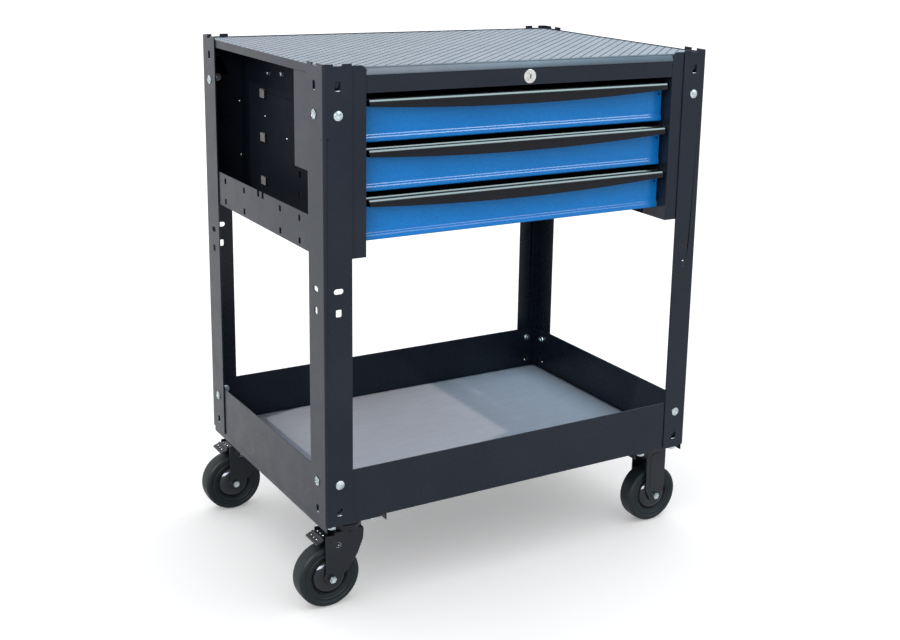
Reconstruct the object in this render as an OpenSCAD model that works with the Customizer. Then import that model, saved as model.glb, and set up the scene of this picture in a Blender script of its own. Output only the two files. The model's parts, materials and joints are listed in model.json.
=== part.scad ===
// Rolling tool cart: a three-drawer cabinet and an open lower tray bolted between four angle posts,
// on two braked swivel casters at the left and two rigid casters at the right.
// +Z is up, the front faces -Y, and the origin is on the floor below the middle of the bounding box.

/* [Frame] */
// Width over the corner posts
cart_w = 680; // [600:5:800]
// Depth over the corner posts
cart_d = 475; // [420:5:600]
// Height of the post tops above the floor
cart_h = 830; // [780:5:900]
// Height of the posts' lower ends above the floor
post_foot = 144; // [144:1:150]
// Width of a post's front or rear flange
flange_w = 44; // [40:1:50]
// Width of a post's side flange
flange_d = 54; // [50:1:60]
// Post sheet thickness
post_t = 2; // [1.5:0.1:3]
// Sheet thickness of the cabinet, the tray and the rails
sheet_t = 1.2; // [1:0.1:1.5]

/* [Cabinet] */
// Distance from a side's outer face to the drawer opening
column_w = 67; // [65:1:75]
// Depth of the cabinet's lower edge below the post tops
cabinet_drop = 279; // [270:1:290]
// Height of the fascia above the drawers
fascia_h = 25; // [24:0.5:28]
// Thickness of the top mat and the tray mat
mat_t = 3; // [2:0.5:4]
// Depth of the top mat's surface below the post tops
mat_drop = 6; // [5:0.5:8]

/* [Drawers] */
// Height from one drawer to the next
drawer_pitch = 72; // [70:0.5:74]
// Depth of the first pull's top edge below the post tops
pull_drop = 51.5; // [50:0.5:53]
// Height of a drawer front with its pull
front_h = 64.5; // [62:0.5:66]
// Distance from the front of the posts to a drawer front's face
front_inset = 24; // [22:0.5:28]
// Length of a drawer box
box_len = 410; // [380:5:415]
// Height of a drawer box
box_h = 48; // [40:1:50]

/* [Tray] */
// Height of the lower tray's walls
tray_h = 83; // [70:1:100]

/* [Casters] */
// Wheel radius
wheel_r = 50; // [48:0.5:50]
// Tyre width
tyre_w = 32; // [28:1:32]
// Distance from the kingpin to the wheel axle
trail = 33; // [30:1:34]
// Distance from a side's outer face to the kingpin
kingpin_in = 49; // [48:1:52]
// Distance from the right face to a rigid caster's axle
rigid_in = 44; // [44:1:50]
// Distance from the front or rear face to the wheel's middle plane
wheel_in = 38; // [37:1:45]

/* [Hidden] */
$fn = 48;
eps = 0.05;

// The swivel wheels trail out past the left face, so the cart sits right of the bounding box's middle.
left_reach = cart_w / 2 - kingpin_in + trail + wheel_r;
right_reach = cart_w / 2 - rigid_in + wheel_r;
cart_x = (left_reach - right_reach) / 2;

half_w = cart_w / 2;
half_d = cart_d / 2;
post_r = 3.5;
// Every post flange repeats one row of holes: heights are below the post tops.
hole_in_front = 22.5;
hole_in_side = 30;
key_drop = 31;
bolt_drop = 71.5;
pilot_drop = 104;
slot_drop = 324.5;
square_drop = 357;
tray_bolt_drop = 622;
knockout_drop = 666;
bolt_r = 3;
bolt_hole_r = 3.4;
slot_len = 15;
slot_r = 4;

opening_x = half_w - column_w;
cabinet_z = cart_h - cabinet_drop;
lip_top = cart_h - 4.5;
lip_z = cart_h - 17;
mat_z = cart_h - mat_drop;
deck_z = mat_z - mat_t;
fascia_top = cart_h - 17.5;
fascia_z = fascia_top - fascia_h;
fascia_y = -half_d + post_t + 0.6;
front_y = -half_d + post_t;
rear_y = half_d - post_t;
front_return = 58;
rear_return = 34;

front_y0 = -half_d + front_inset;
front_t = 3;
front_w = 2 * opening_x - 5;
box_w = 2 * opening_x - 26;
box_t = 1;
box_y0 = front_y0 + front_t;
box_y1 = box_y0 + box_len;
slide_h = 35;
slide_len = 400;
slide_y0 = box_y0 + 3;

lock_z = (fascia_top + fascia_z) / 2;
crank_r = 8;
crank_lift = 2 * crank_r * sin(45);
lock_bar_y = half_d - 16;
catch_y = lock_bar_y - 5;
catch_leg = 12;
catch_z = 40;

tray_t = 1.5;
tray_floor = post_foot + tray_t;
beam_w = 100;
beam_lip = 11;
plate_top = post_foot - tray_t;
plate_t = 3;
plate_l = 90;
plate_d = 66;
plate_bolt_x = 34;
plate_bolt_y = 25;
plate_hole_r = 4.2;
axle_r = 5;
kingpin_r = 6;
run = 0.05;
crown_z = 121.5;
crown_t = 2.5;
leg_in = tyre_w / 2 + 3;
leg_t = 2.5;
foot_r = 9.5;
crown_x = -24;
hub_r = 28;
pivot_x = -26;
pivot_z = 105;
pivot_r = 2.5;

paint = "#2b3036";
blue = "#1a67b5";
mat_grey = "#aab4be";
zinc = "#c3c8cc";
rubber = "#33383a";
gloss = "#15171a";

module in_place() {
    translate([cart_x, 0, 0]) children();
}

// What is modelled at the left or the front is mirrored to the right or the rear.
module on_side(right = false) {
    if (right) mirror([1, 0, 0]) children();
    else children();
}

module on_end(back = false) {
    if (back) mirror([0, 1, 0]) children();
    else children();
}

module at_corner(right = false, back = false) {
    on_side(right) on_end(back) translate([-half_w, -half_d, 0]) children();
}

// A cylinder along +Y that starts at y = 0.
module rod_y(r, len) {
    rotate([-90, 0, 0]) cylinder(r = r, h = len);
}

// A cylinder along +X that starts at x = 0.
module rod_x(r, len) {
    rotate([0, 90, 0]) cylinder(r = r, h = len);
}

// A plane figure drawn in X and Z, given a thickness along +Y.
module plate_xz(t) {
    translate([0, t, 0]) rotate([90, 0, 0]) linear_extrude(t) children();
}

// A plane figure drawn in Y and Z, given a length along +X.
module bar_yz(len) {
    rotate([90, 0, 90]) linear_extrude(len) children();
}

module rounded_rect(w, h, r) {
    union() {
        translate([-w / 2 + r, -h / 2]) square([w - 2 * r, h]);
        translate([-w / 2, -h / 2 + r]) square([w, h - 2 * r]);
        for (x = [-1, 1], y = [-1, 1])
            translate([x * (w / 2 - r), y * (h / 2 - r)]) circle(r = r);
    }
}

// Figure of the hole near a post's foot, which goes through the tray's wall too.
module knockout() {
    translate([0, cart_h - knockout_drop]) rounded_rect(8.5, 12, 2);
}

// The holes that both flanges of a post share, as a figure centred across the flange.
module flange_holes(edge) {
    translate([0, cart_h - key_drop]) rounded_rect(8.5, 13.5, 2.4);
    translate([0, cart_h - bolt_drop]) circle(r = bolt_hole_r);
    translate([edge, cart_h - pilot_drop]) circle(r = 1);
    for (x = [-1, 1])
        translate([x * (slot_len / 2 - slot_r), cart_h - slot_drop]) circle(r = slot_r);
    translate([-slot_len / 2 + slot_r, cart_h - slot_drop - slot_r])
        square([slot_len - 2 * slot_r, 2 * slot_r]);
    translate([0, cart_h - square_drop]) rounded_rect(9, 11, 2);
    translate([0, cart_h - tray_bolt_drop]) circle(r = bolt_hole_r);
    knockout();
    translate([-7, cart_h - 4]) square([14, 5]);
}

// The L section of a post, its outer corner rounded.
module angle_section() {
    translate([post_r, 0]) square([flange_w - post_r, post_t]);
    translate([0, post_r]) square([post_t, flange_d - post_r]);
    intersection() {
        difference() {
            translate([post_r, post_r]) circle(r = post_r);
            translate([post_t, post_t]) square([post_r, post_r]);
        }
        square([post_r, post_r]);
    }
}

module post(right = false, back = false) {
    color(paint) in_place() at_corner(right, back) difference() {
        translate([0, 0, post_foot]) linear_extrude(cart_h - post_foot) angle_section();
        translate([hole_in_front, -1, 0]) plate_xz(post_t + 2) flange_holes(-15.5);
        translate([-1, hole_in_side, 0]) bar_yz(post_t + 2) flange_holes(-23);
    }
}

// Shank holes of one level, drilled along Y and along X at all four corners.
module corner_drills(drop) {
    for (right = [false, true], back = [false, true]) at_corner(right, back) {
        translate([hole_in_front, -1, cart_h - drop]) rod_y(bolt_hole_r, 8);
        translate([-1, hole_in_side, cart_h - drop]) rod_x(bolt_hole_r, 8);
    }
}

module lower_tray() {
    w = cart_w - 2 * post_t;
    d = cart_d - 2 * post_t;
    color(paint) in_place() difference() {
        translate([-w / 2, -d / 2, post_foot]) difference() {
            cube([w, d, tray_h]);
            translate([tray_t, tray_t, tray_t]) cube([w - 2 * tray_t, d - 2 * tray_t, tray_h]);
        }
        corner_drills(tray_bolt_drop);
        for (right = [false, true], back = [false, true]) at_corner(right, back) {
            translate([hole_in_front, -1, 0]) plate_xz(8) knockout();
            translate([-1, hole_in_side, 0]) bar_yz(8) knockout();
        }
        caster_drills();
    }
}

module tray_mat() {
    w = cart_w - 2 * (post_t + tray_t + 1);
    d = cart_d - 2 * (post_t + tray_t + 1);
    color(mat_grey) in_place() translate([-w / 2, -d / 2, tray_floor]) cube([w, d, mat_t]);
}

// Every caster's plate is centred as far from the side as a kingpin.
module each_caster() {
    for (right = [false, true], back = [false, true])
        at_corner(right, back) translate([kingpin_in, wheel_in, 0]) children();
}

module caster_drills() {
    each_caster() for (x = [-1, 1], y = [-1, 1])
        translate([x * plate_bolt_x, y * plate_bolt_y, plate_top - 10]) cylinder(r = plate_hole_r, h = 15);
}

module caster_beams() {
    d = cart_d - 2 * post_t - 2;
    color(paint) in_place() difference() {
        for (right = [false, true]) on_side(right) translate([-half_w + post_t, -d / 2, 0]) {
            translate([0, 0, plate_top]) cube([beam_w, d, tray_t]);
            for (x = [0, beam_w - tray_t])
                translate([x, 0, post_foot - beam_lip]) cube([tray_t, d, beam_lip - tray_t / 2]);
        }
        caster_drills();
    }
}

// A low domed head with a hexagonal recess, on a shank along +Y from the head's seat.
module dome_bolt(len) {
    difference() {
        union() {
            translate([0, -1.2, 0]) rod_y(7, 1.2);
            intersection() {
                translate([0, 6.2, 0]) sphere(r = 9.6);
                translate([0, -3.4, 0]) rod_y(6.2, 2.4);
            }
            rod_y(bolt_r, len);
        }
        translate([0, -4, 0]) rotate([-90, 0, 0]) cylinder(r = 2.4, h = 1.8, $fn = 6);
    }
}

module flange_nut() {
    difference() {
        union() {
            rod_y(6.6, 1.4);
            rotate([-90, 0, 0]) cylinder(r = 5.6, h = 5.4, $fn = 6);
        }
        translate([0, -1, 0]) rod_y(bolt_r + 0.1, 8);
    }
}

module fastener(grip) {
    dome_bolt(grip + 7.5);
    translate([0, grip, 0]) flange_nut();
}

module post_fasteners() {
    color(zinc) in_place() for (right = [false, true], back = [false, true]) at_corner(right, back)
        for (level = [[bolt_drop, sheet_t], [tray_bolt_drop, tray_t]]) {
            translate([hole_in_front, 0, cart_h - level[0]]) fastener(post_t + level[1]);
            translate([0, hole_in_side, cart_h - level[0]]) rotate([0, 0, -90]) fastener(post_t + level[1]);
        }
}

module caster_bolts() {
    color(zinc) in_place() each_caster() for (x = [-1, 1], y = [-1, 1])
        translate([x * plate_bolt_x, y * plate_bolt_y, plate_top - plate_t]) {
            translate([0, 0, -5]) cylinder(r = 6.8, h = 5, $fn = 6);
            cylinder(r = 4, h = plate_t + 2 * tray_t);
        }
}

// Front face figure of a column: its inner top corner is rounded.
module column_face(top) {
    r = 9;
    difference() {
        translate([post_t, cabinet_z]) square([column_w - post_t, top - cabinet_z]);
        translate([column_w - r, top - r]) difference() {
            square([r + 1, r + 1]);
            circle(r = r);
        }
    }
}

module front_column(right = false) {
    color(paint) in_place() difference() {
        at_corner(right) {
            translate([0, post_t, 0]) plate_xz(sheet_t) column_face(cart_h - 3);
            // return beside the drawer opening
            translate([column_w - sheet_t, post_t, cabinet_z])
                cube([sheet_t, front_return, fascia_z - cabinet_z]);
            gusset(102);
        }
        corner_drills(bolt_drop);
        column_knockouts();
    }
}

// Outer return of a column, behind the post's side flange.
module gusset(depth) {
    gusset_z = cart_h - 157;
    translate([post_t, post_t, gusset_z]) cube([sheet_t, depth, lip_z - 0.2 - gusset_z]);
}

module column_knockouts() {
    for (right = [false, true], back = [false, true]) at_corner(right, back) {
        translate([hole_in_front, -1, 0]) plate_xz(8)
            translate([0, cart_h - key_drop - 2]) rounded_rect(8.5, 9.5, 2.4);
        translate([-1, hole_in_side, 0]) bar_yz(8)
            translate([0, cart_h - key_drop]) rounded_rect(8.5, 13.5, 2.4);
    }
}

module columns_rear() {
    tab_w = 12;
    tab_h = 14;
    tab_stand = 4;
    tab_x = 36 - tab_w / 2;
    tab_z = [for (k = [0:2]) cart_h - 75 - 70.5 * k - tab_h / 2];
    color(paint) in_place() difference() {
        for (right = [false, true]) at_corner(right, true) {
            difference() {
                translate([post_t, post_t, cabinet_z]) cube([column_w - post_t, sheet_t, lip_z - cabinet_z]);
                for (z = tab_z) translate([tab_x, 0, z]) cube([tab_w, 8, tab_h]);
            }
            translate([column_w - sheet_t, post_t, cabinet_z])
                cube([sheet_t, rear_return, lip_z - cabinet_z]);
            gusset(48);
            // louvre tabs that stand forward of the column
            for (z = tab_z) translate([tab_x, post_t, z]) {
                translate([0, tab_stand, 0]) cube([tab_w, sheet_t, tab_h]);
                cube([sheet_t, tab_stand + sheet_t, tab_h]);
            }
        }
        corner_drills(bolt_drop);
        column_knockouts();
    }
}

// Side wall of the cabinet, recessed from the posts: a lapped pad and bent-out tabs carry the slides.
module cabinet_side(right = false) {
    y0 = post_t + front_return;
    y1 = cart_d - post_t - rear_return;
    pad_y0 = 30;
    pad_y1 = 433;
    pad_z = cabinet_z + 3;
    pad_top = cart_h - 86;
    pad_t = 1.5;
    panel_in = column_w - sheet_t;
    tab_w = 30;
    tab_h = 14;
    tab_stand = 6;
    tab_y = [for (y = [96, 375]) y - tab_w / 2];
    color(paint) in_place() at_corner(right) {
        difference() {
            union() {
                translate([panel_in, y0, cabinet_z]) cube([sheet_t, y1 - y0, deck_z - sheet_t - cabinet_z]);
                translate([panel_in - pad_t, pad_y0, pad_z]) cube([pad_t, pad_y1 - pad_y0, pad_top - pad_z]);
            }
            for (k = [0:2], y = tab_y)
                translate([panel_in - 5, y, slide_z(k) - tab_h / 2]) cube([10, tab_w, tab_h]);
            for (z = [198, 230])
                translate([panel_in - 5, 226, cart_h - z - 5]) cube([10, 8, 10]);
        }
        for (k = [0:2], y = tab_y) translate([panel_in - tab_stand, y, slide_z(k) - tab_h / 2]) {
            cube([sheet_t, 19, tab_h]);
            cube([tab_stand + sheet_t, sheet_t, tab_h]);
        }
    }
}

module cabinet_back() {
    w = 2 * opening_x;
    y = rear_y - sheet_t;
    flange = 14;
    color(paint) in_place() {
        translate([-w / 2, y, cabinet_z]) cube([w, sheet_t, lip_z - cabinet_z]);
        for (right = [false, true]) on_side(right)
            translate([-w / 2, y - flange, cabinet_z]) cube([sheet_t, flange + eps, lip_z - cabinet_z]);
        translate([-w / 2, y - flange, cabinet_z]) cube([w, flange + eps, sheet_t]);
        // two bridges that guide the lock bar
        for (z = [cabinet_z + 16, fascia_z - 20]) lock_bar_guide(z);
    }
}

// A bridge across the lock bar, open above and below so that the bar can slide.
module lock_bar_guide(z) {
    inside = 26;
    guide_h = 10;
    y0 = lock_bar_y - 3.2;
    for (x = [-inside / 2 - sheet_t, inside / 2])
        translate([x, y0, z]) cube([sheet_t, rear_y - sheet_t - y0 + eps, guide_h]);
    translate([-inside / 2 - sheet_t, y0, z]) cube([inside + 2 * sheet_t, sheet_t, guide_h]);
}

module top_panel() {
    w = cart_w - 2 * post_t;
    y0 = front_y + 3;
    d = rear_y - y0;
    lip_h = lip_top - lip_z;
    color(paint) in_place() {
        translate([-w / 2 + eps, y0, deck_z - sheet_t]) cube([w - 2 * eps, d, sheet_t]);
        for (x = [-w / 2, w / 2 - sheet_t]) translate([x, y0, lip_z]) cube([sheet_t, d, lip_h]);
        translate([-w / 2, rear_y - sheet_t, lip_z]) cube([w, sheet_t, lip_h]);
    }
}

module top_mat() {
    w = cart_w - 2 * (post_t + sheet_t + 0.6);
    lip_w = 2 * opening_x - 0.8;
    lip_r = 9;
    y0 = front_y + 3;
    lip_h = mat_z - fascia_top - 0.3;
    color(mat_grey) in_place() {
        translate([-w / 2, y0 + 0.6, deck_z]) cube([w, rear_y - sheet_t - 0.6 - y0 - 0.6, mat_t]);
        // rounded nose that hangs over the deck's front edge
        translate([-lip_w / 2, 0, 0]) intersection() {
            bar_yz(lip_w) union() {
                translate([front_y + lip_r, mat_z - lip_r]) circle(r = lip_r);
                translate([front_y, mat_z - lip_h]) square([lip_r, lip_h - lip_r + eps]);
            }
            translate([0, front_y, mat_z - lip_h]) cube([lip_w, lip_r, lip_h]);
            union() {
                translate([0, front_y, mat_z - lip_h]) cube([lip_w, 3 - 0.1, lip_h]);
                translate([0, front_y, deck_z]) cube([lip_w, lip_r, mat_t]);
            }
        }
    }
}

module fascia() {
    w = 2 * opening_x - 0.6;
    shelf = 18;
    color(paint) in_place() difference() {
        translate([-w / 2, fascia_y, fascia_z]) {
            cube([w, sheet_t, fascia_h]);
            translate([0, 0, fascia_h - sheet_t]) cube([w, shelf, sheet_t]);
            translate([0, shelf - sheet_t, fascia_h - sheet_t]) cube([w, sheet_t, deck_z - fascia_top]);
            cube([w, 12, sheet_t]);
        }
        translate([0, fascia_y - 1, lock_z]) rod_y(9.5, sheet_t + 2);
    }
}

// Perforated rail between the posts below a side's recess.
module side_rail(right = false) {
    rail_h = 55;
    rail_z = cart_h - 276;
    rail_y = 12;
    foot_w = 16;
    len = cart_d - 2 * rail_y;
    hole_y = [90, 162, 308, 390];
    notch_y = [230, 248];
    color(paint) in_place() at_corner(right) difference() {
        union() {
            translate([post_t, rail_y, rail_z]) cube([sheet_t, len, rail_h]);
            translate([post_t, rail_y, rail_z]) cube([foot_w, len, sheet_t]);
        }
        for (y = hole_y, z = [9, 43])
            translate([0, y - 3.5, rail_z + z - 4]) cube([8, 7, 9]);
        for (y = notch_y)
            translate([0, y - 4, rail_z + rail_h - 10]) cube([8, 8, 11]);
    }
}

function pull_z(k) = cart_h - pull_drop - drawer_pitch * k;
function front_z(k) = pull_z(k) - front_h;
function box_z(k) = front_z(k) + 4;
function slide_z(k) = box_z(k) + box_h / 2;

module drawer_box(k) {
    color(paint) in_place() translate([0, 0, box_z(k)]) {
        difference() {
            translate([-box_w / 2, box_y0, 0]) cube([box_w, box_len, box_h]);
            translate([-box_w / 2 + box_t, box_y0 + box_t, box_t])
                cube([box_w - 2 * box_t, box_len - 2 * box_t, box_h]);
        }
        lock_catch();
    }
}

// Hook plate behind a drawer: a shelf with a turned-down leg that the lock bar's finger catches.
module lock_catch() {
    translate([-8, box_y1 - eps, catch_z]) cube([16, catch_y - box_y1 + 1.5, 1.5]);
    translate([-8, catch_y, catch_z - catch_leg]) cube([16, 1.5, catch_leg + eps]);
    translate([-8, box_y1 - eps, catch_z - 10]) cube([16, 1.5, 10 + eps]);
}

module drawer_front(k) {
    bead_r = 5;
    z0 = front_z(k);
    face_h = front_h - 4;
    color(blue) in_place() difference() {
        translate([-front_w / 2, 0, z0]) bar_yz(front_w) {
            translate([front_y0, bead_r]) square([front_t, face_h - bead_r]);
            intersection() {
                translate([front_y0 + front_t, bead_r]) circle(r = bead_r);
                translate([front_y0 - 10, 0]) square([10 + front_t, 2 * bead_r]);
            }
        }
        for (x = [-1, 1])
            translate([x * (front_w / 2 - 6), front_y0 - 1, z0 + 46]) rod_y(1.6, front_t + 2);
    }
}

// Finger pull: a rounded nose, a dished channel behind it, and a skirt cut to a shallow arc below it.
module drawer_pull(k) {
    nose_r = 3;
    nose_y = front_y + 0.4 + nose_r;
    nose_z = -4.5;
    wall = 1.8;
    skirt_end = 10.5;
    skirt_mid = 19.5;
    w = front_w - 2;
    dish_y0 = nose_y + 1;
    dish_y1 = front_y0 - wall / 2;
    dish_sag = 3;
    arc_r = (w * w / 4 + pow(skirt_mid - skirt_end, 2)) / (2 * (skirt_mid - skirt_end));
    steps = 10;
    dish = [for (i = [0:steps]) let (s = i / steps)
        [dish_y0 + s * (dish_y1 - dish_y0), nose_z + 1 - dish_sag * sin(180 * s) - 1.2 * s]];
    dish_under = [for (i = [0:steps]) dish[steps - i] - [0, wall]];
    color(gloss) in_place() translate([0, 0, pull_z(k)]) intersection() {
        union() {
            translate([-w / 2, 0, 0]) bar_yz(w) {
                translate([nose_y, nose_z]) circle(r = nose_r);
                polygon(concat(dish, dish_under));
                translate([front_y0 - wall, -12]) square([wall, 12 - wall / 2]);
                translate([front_y0 - wall / 2, -wall / 2]) circle(r = wall / 2);
            }
            translate([0, nose_y - nose_r, 0]) plate_xz(wall) intersection() {
                translate([-w / 2, -skirt_mid]) square([w, skirt_mid + nose_z]);
                translate([0, arc_r - skirt_mid]) circle(r = arc_r, $fn = 720);
            }
        }
        pull_plan(w);
    }
}

// Plan figure of a pull: its front corners are cut at an angle.
module pull_plan(w) {
    cut = 4;
    y0 = front_y;
    translate([0, 0, -30]) linear_extrude(40)
        polygon([[-w / 2 + cut, y0], [w / 2 - cut, y0], [w / 2, y0 + 2 * cut], [w / 2, front_y0],
            [-w / 2, front_y0], [-w / 2, y0 + 2 * cut]]);
}

// One slide member: a channel along Y with its web's back at web_x and its flanges' edges at tip_x.
module channel(web_x, tip_x, half_h, y0, len) {
    t = 1.4;
    lo = min(web_x, tip_x);
    span = abs(tip_x - web_x);
    translate([web_x < tip_x ? web_x : web_x - t, y0, -half_h]) cube([t, len, 2 * half_h]);
    for (z = [-half_h, half_h - t])
        translate([lo, y0, z]) cube([span, len, t]);
}

module slide_pair(k, web_x, tip_x, half_h, y_in) {
    color(zinc) in_place() for (right = [false, true]) on_side(right) translate([0, 0, slide_z(k)])
        mirror([1, 0, 0]) channel(web_x, tip_x, half_h, slide_y0 + y_in, slide_len - 2 * y_in);
}

module slides_outer() {
    for (k = [0:2]) slide_pair(k, opening_x, opening_x - 9, slide_h / 2, 0);
}

module slides_middle(k) {
    slide_pair(k, opening_x - 3, opening_x - 10.5, slide_h / 2 - 1.9, 1);
}

module slides_inner(k) {
    slide_pair(k, box_w / 2, box_w / 2 + 7.6, slide_h / 2 - 3.8, 2);
}

module lock_housing() {
    color(zinc) in_place() translate([0, fascia_y, lock_z]) difference() {
        union() {
            intersection() {
                translate([0, -2.2, 0]) rod_y(11, 2.2);
                translate([0, 24.6, 0]) sphere(r = 26.8, $fn = 96);
            }
            rod_y(9.4, 22);
            translate([0, sheet_t, 0]) rotate([-90, 0, 0]) cylinder(r = 12.6, h = 4, $fn = 6);
        }
        translate([0, -3, 0]) rod_y(6 + run, 30);
    }
}

module lock_cylinder() {
    color(zinc) in_place() translate([0, fascia_y, lock_z]) difference() {
        union() {
            translate([0, -1.9, 0]) rod_y(6, 26);
            translate([0, 22.3, 0]) rod_y(8, 2);
        }
        translate([-0.9, -4, -3.6]) cube([1.8, 9, 7.2]);
    }
}

// Rod that carries the lock's turn to a crank at the rear of the cabinet.
module lock_rod() {
    y0 = fascia_y + 24.3;
    crank_y = lock_bar_y - 4;
    color(zinc) in_place() translate([0, 0, lock_z]) {
        translate([0, y0, 0]) rod_y(3, crank_y + 2 - y0);
        rotate([0, -45, 0]) {
            translate([-crank_r, crank_y, -3]) cube([crank_r, 2, 6]);
            translate([-crank_r, crank_y, 0]) rod_y(3, 2);
            translate([-crank_r, crank_y, 0]) rod_y(2, 8.5);
        }
    }
}

// Sliding bar with a finger for each drawer; the crank lifts it to lock them.
module lock_bar() {
    finger_rise = crank_lift + 1;
    crank_z = lock_z - crank_r * sin(45);
    bar_z0 = cabinet_z + 14;
    color(zinc) in_place() {
        difference() {
            translate([-12, lock_bar_y, bar_z0]) cube([24, 1.8, crank_z + 8 - bar_z0]);
            translate([-crank_r - 2.9, lock_bar_y - 1, crank_z - 2.5]) cube([8.2, 4, 5]);
        }
        for (k = [0:2]) lock_finger(box_z(k) + catch_z - catch_leg - finger_rise);
    }
}

module lock_finger(z) {
    tip_y = catch_y - 3.5;
    translate([-6, tip_y, z - 1.8]) cube([12, lock_bar_y - tip_y + eps, 1.8]);
    translate([-6, tip_y, z - 1.8]) cube([12, 1.8, 1.8 + crank_lift - 1]);
}

// Puts a caster's own frame, with its kingpin or fork axis at x = 0, at a corner.
module at_caster(right = false, back = false) {
    x = right ? half_w - rigid_in : -half_w + kingpin_in;
    on_end(back) translate([x, -half_d + wheel_in, 0]) children();
}

module drilled_plate(shift = 0) {
    z = plate_top - plate_t;
    translate([shift, 0, 0]) difference() {
        translate([-plate_l / 2, -plate_d / 2, z]) cube([plate_l, plate_d, plate_t]);
        for (x = [-1, 1], y = [-1, 1])
            translate([x * plate_bolt_x, y * plate_bolt_y, z - 1])
                cylinder(r = plate_hole_r, h = plate_t + 2);
    }
}

module swivel_plate(back = false) {
    race_z = plate_top - plate_t;
    color(gloss) in_place() at_caster(false, back) {
        drilled_plate();
        translate([0, 0, race_z - 5]) cylinder(r = 26, h = 5 + eps);
        translate([0, 0, race_z - 7]) cylinder(r = 20, h = 2 + eps);
        translate([0, 0, crown_z - 5]) cylinder(r = kingpin_r, h = race_z - crown_z + 5);
        translate([0, 0, crown_z - 5.3]) cylinder(r = 9.5, h = 5, $fn = 6);
    }
}

// Side figure of a swivel yoke's leg, in X and Z: upright at the trailing edge, raked at the other.
module leg_figure() {
    top = crown_z + crown_t;
    translate([-trail, wheel_r]) circle(r = foot_r);
    polygon([[-trail - foot_r, wheel_r], [-trail - foot_r, top - 4], [crown_x - 5, top - 4], [crown_x, top],
        [20, top], [21, top - 4], [20, 105], [11, 82], [-6, 58],
        [-trail + foot_r * sin(45), wheel_r - foot_r * sin(45)]]);
}

module yoke(back = false) {
    race_z = plate_top - plate_t;
    crown_top = crown_z + crown_t;
    color(gloss) in_place() at_caster(false, back) difference() {
        union() {
            for (y = [-leg_in - leg_t, leg_in]) translate([0, y, 0]) plate_xz(leg_t) leg_figure();
            translate([crown_x, -leg_in - eps, crown_z]) cube([20 - crown_x, 2 * leg_in + 2 * eps, crown_t]);
            translate([0, 0, crown_z]) cylinder(r = 22, h = crown_t);
            translate([0, 0, crown_top - eps]) cylinder(r = 24, h = race_z - 7.3 - crown_top + eps);
            for (y = [-leg_in - leg_t - 1.2, leg_in + leg_t - eps])
                translate([pivot_x, y, pivot_z]) rod_y(4.4, 1.2 + eps);
            translate([pivot_x, -leg_in - leg_t, pivot_z]) rod_y(pivot_r, 2 * (leg_in + leg_t));
        }
        translate([0, 0, crown_z - 1]) cylinder(r = kingpin_r + run, h = 30);
        translate([-trail, -40, wheel_r]) rod_y(axle_r, 80);
    }
}

// Foot pedal of the brake: a boss on the pivot pin and a stepped tread plate over the wheel.
module brake_pedal(back = false) {
    reach = 30;
    tread_w = 40;
    boss_w = 30;
    t = 2.4;
    color(gloss) in_place() at_caster(false, back) translate([pivot_x, 0, pivot_z]) difference() {
        union() {
            translate([0, -boss_w / 2, 0]) rod_y(4.8, boss_w);
            translate([0, -boss_w / 2, 0]) plate_xz(boss_w)
                polygon([[0, 4.8], [2, 4], [-1, 0], [-10, 8], [-13, 12.2], [-9, 12.2]]);
            translate([0, -boss_w / 2, 0]) plate_xz(boss_w)
                polygon([[-20, 12.2], [-9, 12.2], [-9, 9.8], [-20, 9.8]]);
            translate([0, -tread_w / 2, 0]) plate_xz(tread_w)
                polygon([[-20, 12.2], [-19, 9.8], [-21.5, 7.4], [-reach + 2, 4.8], [-reach + 1, -2.5],
                    [-reach - 1.4, -2.2], [-reach - 0.6, 6.4], [-22.6, 9.4]]);
            for (y = [-1, 0, 1]) {
                translate([-15.5, 9 * y, 11.8]) cylinder(r = 1.7, h = 1.2);
                translate([-26, 9 * y, 7.4]) rotate([0, -20, 0]) cylinder(r = 1.7, h = 1.6);
            }
        }
        translate([0, -30, 0]) rod_y(pivot_r + run, 60);
    }
}

// Axle bolt: head, shank through both legs and nut, along Y about a wheel's middle plane.
module axle_bolt() {
    outer = leg_in + leg_t;
    rotate([90, 0, 0]) {
        translate([0, 0, -outer - 5]) cylinder(r = 8, h = 5, $fn = 6);
        translate([0, 0, -outer]) cylinder(r = axle_r, h = 2 * outer + 8);
        translate([0, 0, outer]) difference() {
            cylinder(r = 8, h = 6, $fn = 6);
            translate([0, 0, -1]) cylinder(r = axle_r + eps, h = 8);
        }
    }
}

module swivel_axle(back = false) {
    color(zinc) in_place() at_caster(false, back) translate([-trail, 0, wheel_r]) axle_bolt();
}

module rigid_axles() {
    color(zinc) in_place() for (back = [false, true]) at_caster(true, back)
        translate([0, 0, wheel_r]) axle_bolt();
}

// Rigid fork: two straight legs with a pressed pad, each tapering to the axle.
module fork(back = false) {
    leg_w = 40;
    shoulder = 68;
    top = plate_top - plate_t;
    color(gloss) in_place() at_caster(true, back) difference() {
        union() {
            drilled_plate(rigid_in - kingpin_in);
            for (y = [-leg_in - leg_t, leg_in]) translate([0, y, 0]) plate_xz(leg_t) {
                translate([-leg_w / 2, shoulder]) square([leg_w, top - shoulder + eps]);
                polygon([[-leg_w / 2, shoulder], [-leg_w / 2, shoulder - 6], [-8, wheel_r - 10],
                    [8, wheel_r - 10], [leg_w / 2, shoulder - 6], [leg_w / 2, shoulder]]);
                translate([0, wheel_r]) circle(r = foot_r);
            }
            for (y = [-leg_in - leg_t - 1, leg_in + leg_t - eps]) translate([0, y, 0]) plate_xz(1 + eps)
                translate([0, 96]) rounded_rect(24, 66, 9);
        }
        translate([0, -40, wheel_r]) rod_y(axle_r, 80);
    }
}

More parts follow.
